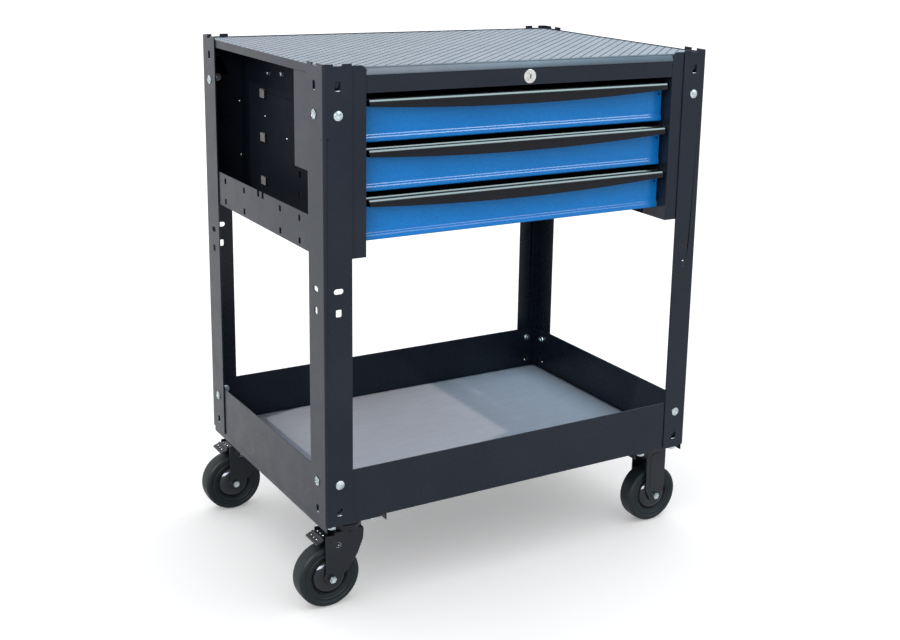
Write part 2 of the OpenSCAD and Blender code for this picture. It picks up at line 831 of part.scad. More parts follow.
// Hub section in radius and width: a dished disc with a thick centre boss.
module hub() {
    half = tyre_w / 2;
    rotate([90, 0, 0]) rotate_extrude($fn = 96)
        polygon([[axle_r + run, half + 2], [12, half + 2], [14, half + 0.5], [16, half - 4], [24, half - 2],
            [hub_r - 1, half - 1.5], [hub_r, half - 2.5], [hub_r, -half + 2.5], [hub_r - 1, -half + 1.5],
            [24, -half + 2], [16, -half + 4], [14, -half - 0.5], [12, -half - 2], [axle_r + run, -half - 2]]);
}

// Tyre section: rounded tread shoulders and two steps in each sidewall.
module tyre() {
    half = tyre_w / 2;
    shoulder = 7;
    tread_r = wheel_r - shoulder;
    rotate([90, 0, 0]) rotate_extrude($fn = 96) {
        translate([hub_r, -half + 1.6]) square([8, tyre_w - 3.2]);
        translate([35, -half + 0.8]) square([6, tyre_w - 1.6]);
        translate([40, -half]) square([tread_r - 40, tyre_w]);
        translate([tread_r - eps, -half + shoulder]) square([shoulder + eps, tyre_w - 2 * shoulder]);
        for (s = [-1, 1]) translate([tread_r, s * (half - shoulder)]) circle(r = shoulder);
    }
}

module at_wheel(right = false, back = false) {
    at_caster(right, back) translate([right ? 0 : -trail, 0, wheel_r]) children();
}

module wheel_hub(right = false, back = false) {
    color(gloss) in_place() at_wheel(right, back) hub();
}

module wheel_tyre(right = false, back = false) {
    color(rubber) in_place() at_wheel(right, back) tyre();
}

post();  // post_front_left
post(right = true);  // post_front_right
post(back = true);  // post_back_left
post(right = true, back = true);  // post_back_right
lower_tray();
tray_mat();
caster_beams();
post_fasteners();
caster_bolts();
front_column();  // column_front_left
front_column(right = true);  // column_front_right
columns_rear();
cabinet_side();  // cabinet_side_left
cabinet_side(right = true);  // cabinet_side_right
cabinet_back();
top_panel();
top_mat();
fascia();
side_rail();  // side_rail_left
side_rail(right = true);  // side_rail_right
for (k = [0:2]) {
    drawer_box(k);
    drawer_front(k);
    drawer_pull(k);
    slides_middle(k);
    slides_inner(k);
}
slides_outer();
lock_housing();
lock_cylinder();
lock_rod();
lock_bar();
swivel_plate();  // swivel_plate_front
swivel_plate(back = true);  // swivel_plate_back
yoke();  // yoke_front_left
yoke(back = true);  // yoke_back_left
brake_pedal();  // brake_pedal_front
brake_pedal(back = true);  // brake_pedal_back
swivel_axle();  // axle_front_left
swivel_axle(back = true);  // axle_back_left
rigid_axles();
fork();  // fork_front_right
fork(back = true);  // fork_back_right
wheel_hub();  // hub_front_left
wheel_hub(back = true);  // hub_back_left
wheel_hub(right = true);  // hub_front_right
wheel_hub(right = true, back = true);  // hub_back_right
wheel_tyre();  // tyre_front_left
wheel_tyre(back = true);  // tyre_back_left
wheel_tyre(right = true);  // tyre_front_right
wheel_tyre(right = true, back = true);  // tyre_back_right
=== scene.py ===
"""Looks of a rolling tool cart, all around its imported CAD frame: procedural paint, rubber and zinc finishes,
rounded sheet-metal edges, a grooved top mat, moulded tyres, rivets, nuts and pressed details."""

import json
import math

import bmesh
import bpy
from mathutils import Matrix, Vector, bvhtree, noise

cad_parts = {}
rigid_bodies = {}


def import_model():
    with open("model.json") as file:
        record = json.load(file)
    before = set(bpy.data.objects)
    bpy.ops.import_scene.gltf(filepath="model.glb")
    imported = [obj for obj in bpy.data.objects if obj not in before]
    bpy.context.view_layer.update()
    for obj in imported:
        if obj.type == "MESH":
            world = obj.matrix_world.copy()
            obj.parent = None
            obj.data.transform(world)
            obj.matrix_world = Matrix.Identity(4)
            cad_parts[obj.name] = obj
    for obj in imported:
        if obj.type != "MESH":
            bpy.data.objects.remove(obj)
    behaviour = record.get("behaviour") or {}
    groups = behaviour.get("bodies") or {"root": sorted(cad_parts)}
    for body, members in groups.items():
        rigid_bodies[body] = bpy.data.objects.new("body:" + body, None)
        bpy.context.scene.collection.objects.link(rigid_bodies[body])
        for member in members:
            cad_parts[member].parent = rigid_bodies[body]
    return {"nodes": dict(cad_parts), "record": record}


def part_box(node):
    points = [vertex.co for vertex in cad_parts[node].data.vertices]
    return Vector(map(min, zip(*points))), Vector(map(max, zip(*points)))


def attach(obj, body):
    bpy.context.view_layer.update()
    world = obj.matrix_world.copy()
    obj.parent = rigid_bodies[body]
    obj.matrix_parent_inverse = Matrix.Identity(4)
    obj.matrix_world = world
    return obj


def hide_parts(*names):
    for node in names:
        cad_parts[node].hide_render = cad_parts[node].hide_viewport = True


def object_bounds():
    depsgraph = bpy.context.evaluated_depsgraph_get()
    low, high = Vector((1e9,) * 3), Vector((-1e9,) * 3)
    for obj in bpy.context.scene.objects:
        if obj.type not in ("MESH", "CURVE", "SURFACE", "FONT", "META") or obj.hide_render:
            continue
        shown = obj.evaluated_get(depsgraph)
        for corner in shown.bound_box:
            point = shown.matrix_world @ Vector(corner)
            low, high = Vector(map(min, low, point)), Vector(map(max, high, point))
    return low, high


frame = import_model()
cad_lo, cad_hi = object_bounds()
NODES = frame["nodes"]
BODY_OF = {n: body for body, members in frame["record"]["behaviour"]["bodies"].items() for n in members}
SLOT_OF = {p["node"]: p["material_slot"] for p in frame["record"]["subparts"]}
MM = 0.001
scene = bpy.context.scene

# ---------------------------------------------------------------- camera, from a fit to the object's corners


def make_camera():
    """A pinhole camera given by its place, heading, pitch and roll in degrees, and its focal length in pixels."""
    width_px, focal_px = 900, 1340.5
    heading, pitch, roll = (math.radians(a) for a in (32.59, -13.91, 1.51))
    eye = (-1.0906, -1.9191, 1.0371)
    data = bpy.data.cameras.new("camera")
    data.sensor_width = 36
    data.lens = focal_px / width_px * data.sensor_width
    data.shift_x, data.shift_y = -0.0667, -0.0833
    data.clip_start, data.clip_end = 0.05, 200
    forward = Vector((math.sin(heading) * math.cos(pitch), math.cos(heading) * math.cos(pitch), math.sin(pitch)))
    level = Vector((math.cos(heading), -math.sin(heading), 0))
    above = level.cross(forward)
    right = level * math.cos(roll) + above * math.sin(roll)
    up = above * math.cos(roll) - level * math.sin(roll)
    cam = bpy.data.objects.new("camera", data)
    cam.matrix_world = Matrix((
        (right.x, up.x, -forward.x, eye[0]),
        (right.y, up.y, -forward.y, eye[1]),
        (right.z, up.z, -forward.z, eye[2]),
        (0, 0, 0, 1),
    ))
    scene.collection.objects.link(cam)
    scene.camera = cam


make_camera()

# ---------------------------------------------------------------- light

LAMPS = []


def area_light(name, place, target, size, radiance, color):
    """A soft box whose brightness is given as radiance, so that its reflections keep their tone at any size."""
    data = bpy.data.lights.new(name, "AREA")
    data.shape = "RECTANGLE"
    data.size, data.size_y = size
    data.energy = radiance * math.pi * size[0] * size[1]
    data.color = color
    lamp = bpy.data.objects.new(name, data)
    lamp.location = place
    lamp.rotation_euler = (Vector(target) - Vector(place)).to_track_quat("-Z", "Y").to_euler()
    lamp.visible_camera = False
    scene.collection.objects.link(lamp)
    LAMPS.append(lamp)


def make_light():
    """An even white surround, a warm key from the left, a cool box above the front and soft boxes at the left."""
    scene.view_settings.view_transform = "Standard"
    world = bpy.data.worlds.new("studio")
    world.use_nodes = True
    sky = world.node_tree.nodes["Background"]
    sky.inputs["Color"].default_value = (0.985, 0.99, 1.0, 1)
    sky.inputs["Strength"].default_value = 1.12
    scene.world = world
    sun = bpy.data.lights.new("key", "SUN")
    sun.energy, sun.angle, sun.color = 2.8, math.radians(1.2), (1.0, 0.82, 0.66)
    key = bpy.data.objects.new("key", sun)
    key.rotation_euler = Vector((1.066, 0.32, -1)).to_track_quat("-Z", "Y").to_euler()
    scene.collection.objects.link(key)
    LAMPS.append(key)
    area_light("box_above", (1.6, -1.2, 3.0), (1.6, -1.2, 0.0), (2.4, 2.8), 6.3, (0.66, 0.94, 1.0))
    area_light("panel_left", (-2.7, 2.4, 0.9), (-0.2, 0.0, 0.5), (2.6, 1.6), 0.35, (1.0, 0.9, 1.0))
    area_light("panel_upper_left", (-1.9, -1.3, 1.5), (-0.3, -0.1, 0.3), (1.7, 0.8), 10, (0.97, 0.96, 1.0))
    area_light("wheel_light", (-1.9, -1.3, 1.5), (-0.3, -0.2, 0.05), (3.6, 1.0), 26, (0.94, 0.97, 1.0))


make_light()


def mesh_object(name, bm):
    mesh = bpy.data.meshes.new(name)
    bm.normal_update()
    bm.to_mesh(mesh)
    bm.free()
    obj = bpy.data.objects.new(name, mesh)
    scene.collection.objects.link(obj)
    return obj


# ---------------------------------------------------------------- procedural materials


class Finish:
    """A Principled material with helpers for object-space noise, so that grain keeps its real size."""

    def __init__(self, name, metallic=0.0, ior=1.5, tint=(1, 1, 1)):
        self.mat = bpy.data.materials.new(name)
        self.mat.use_nodes = True
        self.tree = self.mat.node_tree
        self.bsdf = self.tree.nodes["Principled BSDF"]
        self.bsdf.inputs["Metallic"].default_value = metallic
        self.bsdf.inputs["IOR"].default_value = ior
        self.bsdf.inputs["Specular Tint"].default_value = (*tint, 1)
        self.coords = self.add("ShaderNodeTexCoord").outputs["Object"]
        self.normal = None

    def add(self, kind, **values):
        node = self.tree.nodes.new(kind)
        for key, value in values.items():
            setattr(node, key, value)
        return node

    def link(self, a, b):
        self.tree.links.new(a, b)

    def stretched(self, scale):
        node = self.add("ShaderNodeMapping")
        node.inputs["Scale"].default_value = scale
        self.link(self.coords, node.inputs["Vector"])
        return node.outputs["Vector"]

    def noise(self, scale, detail=3.0, rough=0.55, stretch=None):
        node = self.add("ShaderNodeTexNoise")
        node.inputs["Scale"].default_value = scale
        node.inputs["Detail"].default_value = detail
        node.inputs["Roughness"].default_value = rough
        self.link(self.stretched(stretch) if stretch else self.coords, node.inputs["Vector"])
        return node.outputs["Fac"]

    def mapped(self, value, lo, hi, low=0.35, high=0.65):
        """Carries value's range low to high over to lo to hi."""
        node = self.add("ShaderNodeMapRange")
        for key, v in (("From Min", low), ("From Max", high), ("To Min", lo), ("To Max", hi)):
            node.inputs[key].default_value = v
        self.link(value, node.inputs["Value"])
        return node.outputs["Result"]

    def blend(self, factor, a, b):
        node = self.add("ShaderNodeMix", data_type="RGBA")
        self.link(factor, node.inputs["Factor"])
        for key, v in (("A", a), ("B", b)):
            socket = [s for s in node.inputs if s.name == key and s.type == "RGBA"][0]
            if isinstance(v, tuple):
                socket.default_value = (*v, 1)
            else:
                self.link(v, socket)
        return [s for s in node.outputs if s.type == "RGBA"][0]

    def color(self, value):
        self.link(value, self.bsdf.inputs["Base Color"])

    def rough(self, value):
        self.link(value, self.bsdf.inputs["Roughness"])

    def bump(self, height, distance):
        """Adds relief over any earlier relief; distance is its depth in metres."""
        node = self.add("ShaderNodeBump")
        node.inputs["Strength"].default_value = 1.0
        node.inputs["Distance"].default_value = distance
        self.link(height, node.inputs["Height"])
        if self.normal:
            self.link(self.normal, node.inputs["Normal"])
        self.normal = node.outputs["Normal"]
        self.link(self.normal, self.bsdf.inputs["Normal"])


def painted(name, dark, light, rough, peel, waves=0.00006, ior=1.38, tint=(0.86, 0.88, 1.0)):
    """Powder coat: faint cloudiness, fine mottling, orange peel about 1 mm across and slow waves of the sheet."""
    f = Finish(name, ior=ior, tint=tint)
    clouds = f.noise(9, 4)
    mottle = f.noise(420, 2, 0.6)
    specks = f.noise(1500, 1)
    shade = f.blend(f.mapped(clouds, 0, 1), dark, light)
    shade = f.blend(f.mapped(mottle, 0, 0.6, 0.45, 0.7), shade, tuple(c * 0.7 for c in dark))
    f.color(f.blend(f.mapped(specks, 0, 0.35, 0.62, 0.75), shade, tuple(min(1, c * 1.5 + 0.006) for c in light)))
    f.rough(f.mapped(f.noise(30, 6, 0.65), rough[0], rough[1], 0.3, 0.7))
    f.bump(f.noise(12, 1), waves)
    f.bump(f.noise(750, 2), peel)
    return f.mat


def rubbery(name, dark, light, rough, grain, depth, ior=1.4):
    """Rubber or vinyl: a fine moulded grain with slow changes of tone."""
    f = Finish(name, ior=ior)
    tone = f.blend(f.mapped(f.noise(18, 5), 0, 1), dark, light)
    fine = f.noise(grain, 3, 0.6)
    f.color(f.blend(f.mapped(fine, 0, 0.3), tone, tuple(c * 0.82 for c in dark)))
    f.rough(f.mapped(f.noise(40, 3), rough[0], rough[1], 0.3, 0.7))
    f.bump(fine, depth)
    return f.mat


def plated(name, dark, light, rough, streak=(1, 1, 1)):
    """Bright plate or brushed steel: metal with fine streaks and small changes of tone and gloss."""
    f = Finish(name, metallic=1.0)
    lines = f.noise(900, 2, 0.5, streak)
    f.color(f.blend(f.mapped(f.noise(120, 3), 0, 1), dark, light))
    f.rough(f.mapped(lines, rough[0], rough[1], 0.3, 0.7))
    f.bump(lines, 0.00002)
    return f.mat


def foam(name, dark, light):
    """Matt foam rubber with a close pebbled grain and faint rolling marks along it."""
    f = Finish(name, ior=1.42)
    cells = f.add("ShaderNodeTexVoronoi")
    cells.inputs["Scale"].default_value = 900
    f.link(f.coords, cells.inputs["Vector"])
    marks = f.noise(25, 4, 0.6, (1, 7, 1))
    tone = f.blend(f.mapped(marks, 0, 1), dark, light)
    f.color(f.blend(f.mapped(cells.outputs["Distance"], 0, 0.35, 0.1, 0.7), tone, tuple(c * 0.8 for c in dark)))
    f.rough(f.mapped(f.noise(300, 3), 0.62, 0.8))
    f.bump(cells.outputs["Distance"], 0.00012)
    f.bump(f.noise(60, 3), 0.0003)
    return f.mat


BLUE = ((0.003, 0.11, 0.345), (0.004, 0.122, 0.375))
MATERIALS = {
    "black_paint": painted(
        "black_powder_coat", (0.004, 0.0065, 0.0115), (0.006, 0.009, 0.0145), (0.22, 0.34), 0.00003, ior=1.3),
    "drawer_paint": painted(
        "satin_powder_coat", (0.011, 0.012, 0.014), (0.016, 0.018, 0.02), (0.3, 0.42), 0.00003),
    "blue_paint": painted("blue_powder_coat", *BLUE, (0.16, 0.24), 0.000016, tint=(0.45, 0.85, 1.0)),
    "gloss_pull": painted(
        "gloss_black", (0.001, 0.0015, 0.002), (0.002, 0.0025, 0.0035), (0.16, 0.3), 0.00001, 0.00003, 1.3),
    "top_mat": rubbery("grey_top_mat", (0.158, 0.178, 0.213), (0.175, 0.195, 0.233), (0.5, 0.66), 1400, 0.00006),
    "tray_mat": foam("grey_tray_mat", (0.186, 0.21, 0.26), (0.21, 0.236, 0.29)),
    "zinc": plated("bright_zinc", (0.3, 0.36, 0.38), (0.62, 0.7, 0.72), (0.14, 0.3)),
    "slide_steel": plated("slide_zinc", (0.55, 0.57, 0.6), (0.66, 0.68, 0.7), (0.25, 0.42), (1, 0.05, 1)),
    "lock_chrome": plated("bright_nickel", (0.5, 0.5, 0.48), (0.68, 0.68, 0.66), (0.1, 0.2)),
    "caster_paint": painted("caster_coat", (0.003, 0.004, 0.0055), (0.005, 0.0065, 0.008), (0.14, 0.24), 0.00002),
    "wheel_hub": painted("moulded_black", (0.003, 0.0035, 0.004), (0.005, 0.0055, 0.006), (0.07, 0.14), 0.000008),
    "tyre": rubbery(
        "dark_rubber", (0.003, 0.006, 0.0075), (0.006, 0.0095, 0.0115), (0.42, 0.56), 1100, 0.00005, ior=1.3),
}
# the groove material is far darker than the mat's own rubber: painted shade in the grooves between the pads
GROOVE_SHADE = rubbery("groove_painted_shade", (0.035, 0.05, 0.07), (0.05, 0.068, 0.09), (0.6, 0.8), 1400, 0.00005)
# a darker copy of the mat's rubber for the front-facing nose: painted shade
MAT_NOSE_SHADE = rubbery("mat_nose_painted_shade", (0.06, 0.08, 0.105), (0.072, 0.094, 0.12), (0.6, 0.75), 1400, 0.00004)
# a stronger reflecting copy of the gloss black, only where the lamp's highlight falls: painted highlight
NOSE_HIGHLIGHT = painted(
    "nose_painted_highlight", (0.002, 0.003, 0.004), (0.003, 0.004, 0.0055), (0.1, 0.17), 0.000004, 0.00002, 1.7, (1, 1, 1))
# the blue paint with a stronger, whiter reflection, on the bead slopes only: painted highlight
BEAD_HIGHLIGHT = painted("bead_painted_highlight", *BLUE, (0.14, 0.2), 0.000002, 0.00002, 1.72, (1.0, 0.8, 0.82))
# a darker, less reflecting copy of the black coat: painted shade inside the recesses
RECESS_SHADE = painted(
    "recess_painted_shade", (0.0022, 0.0032, 0.0058), (0.0035, 0.005, 0.008), (0.55, 0.68), 0.00003, ior=1.13)
# a grey far lighter than the black coat, for the slide tabs: painted highlight where they catch the light
TAB_HIGHLIGHT = painted("tab_painted_highlight", (0.04, 0.04, 0.045), (0.14, 0.14, 0.15), (0.3, 0.4), 0.00002)


def finish_piece(obj, node, extra=()):
    """obj stands for a CAD node: it takes the node's body and material slot."""
    for mat in (MATERIALS[SLOT_OF[node]], *extra):
        obj.data.materials.append(mat)
    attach(obj, BODY_OF[node])
    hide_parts(node)


def add_piece(obj, body, slot):
    """obj is a detail with no CAD node of its own."""
    obj.data.materials.append(MATERIALS[slot])
    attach(obj, body)


# ---------------------------------------------------------------- CAD sheets and castings, with their edges rounded


def weigh_normals(obj):
    """Large flat faces keep their own normal, so that only the rounded edges shade as curves."""
    weighted = obj.modifiers.new("flats", "WEIGHTED_NORMAL")
    weighted.mode = "FACE_AREA"
    weighted.weight = 100
    weighted.keep_sharp = False


def rounded_copy(node, width):
    """A copy of a CAD node's shape whose sharp edges are rounded, as pressed, cut and coated metal has."""
    bm = bmesh.new()
    bm.from_mesh(NODES[node].data)
    bmesh.ops.remove_doubles(bm, verts=bm.verts, dist=2e-6)
    bmesh.ops.dissolve_limit(
        bm, angle_limit=math.radians(0.6), use_dissolve_boundaries=False, verts=bm.verts, edges=bm.edges)
    for face in bm.faces:
        face.smooth = True
    obj = mesh_object(node + "_finished", bm)
    bevel = obj.modifiers.new("edges", "BEVEL")
    bevel.width = width
    bevel.segments = 2
    bevel.limit_method = "ANGLE"
    bevel.angle_limit = math.radians(28)
    bevel.use_clamp_overlap = False
    bevel.miter_outer = "MITER_ARC"
    weigh_normals(obj)
    finish_piece(obj, node)
    return obj


# edge radii in mm, by group of nodes
EDGES = [
    (0.4, "post_front_left post_front_right post_back_left post_back_right lower_tray caster_beams"),
    (0.32, "column_front_left column_front_right columns_rear cabinet_side_left cabinet_side_right cabinet_back"),
    (0.32, "top_panel fascia side_rail_left side_rail_right"),
    (0.5, "swivel_plate_front swivel_plate_back"),
    (0.9, "yoke_front_left yoke_back_left"),
    (0.4, "fork_front_right fork_back_right"),
    (0.25, "brake_pedal_front brake_pedal_back"),
    (0.3, "axle_front_left axle_back_left rigid_axles caster_bolts"),
    (0.2, "post_fasteners lock_housing lock_cylinder"),
    (0.25, "lock_rod lock_bar"),
    (0.2, "slides_outer"),
]
for k in (1, 2, 3):
    EDGES += [(0.25, f"drawer_box_{k}"), (0.2, f"slides_middle_{k} slides_inner_{k}")]
FINISHED = {node: rounded_copy(node, radius * MM) for radius, nodes in EDGES for node in nodes.split()}

# ---------------------------------------------------------------- copies that differ from their envelope


def wheel_centre(where):
    lo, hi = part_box("tyre_" + where)
    return [(a + b) / 2 for a, b in zip(lo, hi)]


def slim_axle_nuts():
    """The nuts on the axles are smaller than their envelope: each is drawn in towards its own axis."""
    shank_r, shrink = 4.6 * MM, 0.26
    for node, wheels in (("axle_front_left", ["front_left"]), ("axle_back_left", ["back_left"]),
                         ("rigid_axles", ["front_right", "back_right"])):
        centres = [Vector(wheel_centre(where)) for where in wheels]
        for v in FINISHED[node].data.vertices:
            c = min(centres, key=lambda q: (v.co - q).length)
            out = Vector((v.co.x - c.x, 0, v.co.z - c.z))
            if out.length > shank_r:
                v.co -= out * shrink


slim_axle_nuts()


def thin_pedals():
    """The tread of a pedal is a thin plate: the turned-down lip of its envelope is drawn up to a low rim."""
    lip_w, rim_drop, rim_share = 4.6 * MM, 8.2 * MM, 0.12
    for node in ("brake_pedal_front", "brake_pedal_back"):
        lo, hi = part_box(node)
        rim = hi[2] - rim_drop
        for v in FINISHED[node].data.vertices:
            if v.co.x < lo[0] + lip_w and v.co.z < rim:
                v.co.z = rim - (rim - v.co.z) * rim_share


thin_pedals()


def shade_recess():
    """The walls inside the cabinet's recess and the rear columns take a darker matt black, painted shade; the slide
    tabs bent out of the walls take a light grey, painted highlight.
    """
    tab_reach = 4.5 * MM
    for side in ("left", "right"):
        obj = FINISHED["cabinet_side_" + side]
        xs = [v.co.x for v in obj.data.vertices]
        inner = max(xs) if side == "left" else min(xs)
        obj.data.materials.clear()
        for mat in (RECESS_SHADE, TAB_HIGHLIGHT):
            obj.data.materials.append(mat)
        # sideways-facing faces more than tab_reach off the inner side, the tabs, take the painted highlight; the rest
        # take the painted shade
        for face in obj.data.polygons:
            face.material_index = int(abs(face.center.x - inner) > tab_reach and abs(face.normal.x) > 0.5)
    FINISHED["columns_rear"].data.materials[0] = RECESS_SHADE


shade_recess()

# ---------------------------------------------------------------- wheels


def lathe(bm, profile, centre, segments=96):
    """A closed profile of (radius, offset along Y) in mm, turned about the Y axis through centre."""
    rings = []
    for k in range(segments):
        a = 2 * math.pi * k / segments
        rings.append([
            bm.verts.new((centre[0] + r * MM * math.cos(a), centre[1] + y * MM, centre[2] + r * MM * math.sin(a)))
            for r, y in profile
        ])
    count = len(profile)
    for k in range(segments):
        here, there = rings[k], rings[(k + 1) % segments]
        for i in range(count):
            j = (i + 1) % count
            bm.faces.new((here[i], here[j], there[j], there[i])).smooth = True
    bmesh.ops.recalc_face_normals(bm, faces=bm.faces)


def rounded_profile(points):
    """A profile whose corners are cut by small arcs: each point is (r, y, corner radius)."""
    out = []
    count = len(points)
    for i, (r, y, round_r) in enumerate(points):
        here = Vector((r, y))
        before = Vector(points[i - 1][:2]) - here
        after = Vector(points[(i + 1) % count][:2]) - here
        if round_r <= 0:
            out.append((r, y))
            continue
        reach = min(round_r, before.length * 0.45, after.length * 0.45)
        a = here + before.normalized() * reach
        b = here + after.normalized() * reach
        for t in (0, 0.25, 0.5, 0.75, 1):
            q = a * (1 - t) ** 2 + here * (2 * t * (1 - t)) + b * t ** 2
            out.append((q.x, q.y))
    return out


def mirrored(half):
    """The outer half of a section and its mirror image across the wheel's middle."""
    return half + [(r, -y, c) for r, y, c in reversed(half)]


TYRE_HALF = [
    (28.0, 11.2, 0.3), (29.0, 11.2, 0.4), (30.4, 13.6, 0.8), (34.6, 14.0, 0.5), (35.6, 15.2, 0.5), (36.4, 15.3, 0.5),
    (37.2, 14.5, 0.4), (40.6, 14.7, 0.5), (41.6, 15.8, 0.5), (43.6, 15.9, 0.8), (46.8, 15.3, 2.6), (49.3, 13.0, 2.4),
    (50.0, 5.0, 4.0),
]
HUB_HALF = [
    (4.6, 17.9, 0.3), (9.0, 17.9, 0.8), (9.8, 16.4, 0.8), (11.0, 16.4, 0.4), (11.6, 16.9, 0.5), (19.5, 16.9, 2.0),
    (22.4, 16.0, 1.2), (24.6, 14.4, 1.2), (26.2, 12.6, 1.2), (27.3, 10.6, 1.0), (28.0, 9.6, 0.2),
]


def make_wheels():
    for where in ("front_left", "back_left", "front_right", "back_right"):
        centre = wheel_centre(where)
        for node, half in (("tyre_" + where, TYRE_HALF), ("hub_" + where, HUB_HALF)):
            bm = bmesh.new()
            lathe(bm, rounded_profile(mirrored(half)), centre)
            finish_piece(mesh_object(node + "_turned", bm), node)


make_wheels()

# ---------------------------------------------------------------- top mat with its crossed grooves


def clip(poly, nx, ny, limit):
    """The part of a convex polygon where nx * x + ny * y <= limit."""
    out = []
    for i, a in enumerate(poly):
        b = poly[(i + 1) % len(poly)]
        da, db = nx * a[0] + ny * a[1] - limit, nx * b[0] + ny * b[1] - limit
        if da <= 0:
            out.append(a)
        if (da < 0 < db) or (db < 0 < da):
            t = da / (da - db)
            out.append((a[0] + (b[0] - a[0]) * t, a[1] + (b[1] - a[1]) * t))
    return out


def cell(u, v, pitch, gap, area):
    """One diamond of the mat, cut to the mat's outline."""
    h = math.sqrt(0.5)
    x0, y0, x1, y1 = area
    poly = [(x0, y0), (x1, y0), (x1, y1), (x0, y1)]
    for nx, ny, k in ((h, h, u), (h, -h, v)):
        poly = clip(poly, nx, ny, (k + 1) * pitch - gap)
        if poly:
            poly = clip(poly, -nx, -ny, -k * pitch - gap)
        if len(poly) < 3:
            return []
    return poly


def prism(bm, lower, upper, z0, z1, z2):
    """A pad with upright sides to z1 and a small chamfer to z2; the sides take the darker groove material, painted
    shade.
    """
    rings = [[bm.verts.new((x, y, z)) for x, y in poly] for poly, z in ((lower, z0), (lower, z1), (upper, z2))]
    count = len(lower)
    for a, b in zip(rings, rings[1:]):
        for i in range(count):
            j = (i + 1) % count
            bm.faces.new((a[i], a[j], b[j], b[i])).material_index = 1
    bm.faces.new(rings[2]).material_index = 0
    bm.faces.new(list(reversed(rings[0]))).material_index = 1


def make_top_mat():
    """A slab covered with diamond pads, and a nose that turns down over the front edge between the columns."""
    lo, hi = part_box("top_mat")
    top, thick, lip_t = hi[2], 3 * MM, 2.8 * MM
    groove_depth, pitch, gap, chamfer = 0.8 * MM, 13.2 * MM, 0.9 * MM, 0.18 * MM
    nose_r, lip_half, mid_x = 9 * MM, 272.6 * MM, (lo[0] + hi[0]) / 2
    body_y = lo[1] + 3.6 * MM
    bm = bmesh.new()
    slab_top = top - groove_depth
    pad_foot = slab_top - 0.2 * MM
    outline = [(lo[0], body_y), (hi[0], body_y), (hi[0], hi[1]), (lo[0], hi[1])]
    prism(bm, outline, outline, top - thick, slab_top - 0.1 * MM, slab_top)
    # the slab between the pads takes the darker groove material: painted shade at the bottom of the grooves
    for face in bm.faces:
        face.material_index = 1
    area = (lo[0] + 0.3 * MM, lo[1] + nose_r + 0.8 * MM, hi[0] - 0.3 * MM, hi[1] - 0.3 * MM)
    reach = int((hi[0] - lo[0] + hi[1] - lo[1]) / pitch) + 2
    for u in range(-reach, reach):
        for v in range(-reach, reach):
            lower = cell(u, v, pitch, gap, area)
            upper = cell(u, v, pitch, gap + chamfer, area)
            if len(lower) >= 3 and len(lower) == len(upper):
                prism(bm, lower, upper, pad_foot, top - 0.22 * MM, top)
    # plain strips at the sides of the nose, and the nose itself, which takes the darker nose material, painted shade
    for x0, x1 in ((lo[0], mid_x - lip_half), (mid_x + lip_half, hi[0])):
        strip = [(x0, body_y), (x1, body_y), (x1, lo[1] + nose_r), (x0, lo[1] + nose_r)]
        prism(bm, strip, strip, pad_foot, top - 0.25 * MM, top - 0.02 * MM)
    section = [(lo[1] + nose_r, top - thick), (lo[1] + lip_t, top - thick), (lo[1] + lip_t, lo[2]), (lo[1], lo[2])]
    steps = 16
    for k in range(steps + 1):
        a = math.pi * (1 - k / steps / 2)
        section.append((lo[1] + nose_r + nose_r * math.cos(a), top - nose_r + nose_r * math.sin(a)))
    ends = [[bm.verts.new((x, y, z)) for y, z in section] for x in (mid_x - lip_half, mid_x + lip_half)]
    for i in range(len(section)):
        j = (i + 1) % len(section)
        face = bm.faces.new((ends[0][i], ends[0][j], ends[1][j], ends[1][i]))
        face.smooth = i >= 3
        face.material_index = 2
    bm.faces.new(ends[0]).material_index = 2
    bm.faces.new(list(reversed(ends[1]))).material_index = 2
    bmesh.ops.recalc_face_normals(bm, faces=bm.faces)
    finish_piece(mesh_object("top_mat_grooved", bm), "top_mat", (GROOVE_SHADE, MAT_NOSE_SHADE))


make_top_mat()

# ---------------------------------------------------------------- drawer fronts and pulls


def sweep(bm, sections, materials=()):
    """Joins closed sections, lists of points with the same count, into one capped skin."""
    rings = [[bm.verts.new(q) for q in section] for section in sections]
    count = len(rings[0])
    for a, b in zip(rings, rings[1:]):
        for i in range(count):
            j = (i + 1) % count
            face = bm.faces.new((a[i], a[j], b[j], b[i]))
            face.smooth = True
            face.material_index = materials[i] if materials else 0
    bm.faces.new(list(reversed(rings[0])))
    bm.faces.new(rings[-1])
    bmesh.ops.recalc_face_normals(bm, faces=bm.faces)


def arc(centre, radius, start, end, steps):
    """Points on a circle, angles in degrees from +Y towards +Z."""
    points = []
    for k in range(steps + 1):
        a = math.radians(start + (end - start) * k / steps)
        points.append((centre[0] + radius * math.cos(a), centre[1] + radius * math.sin(a)))
    return points


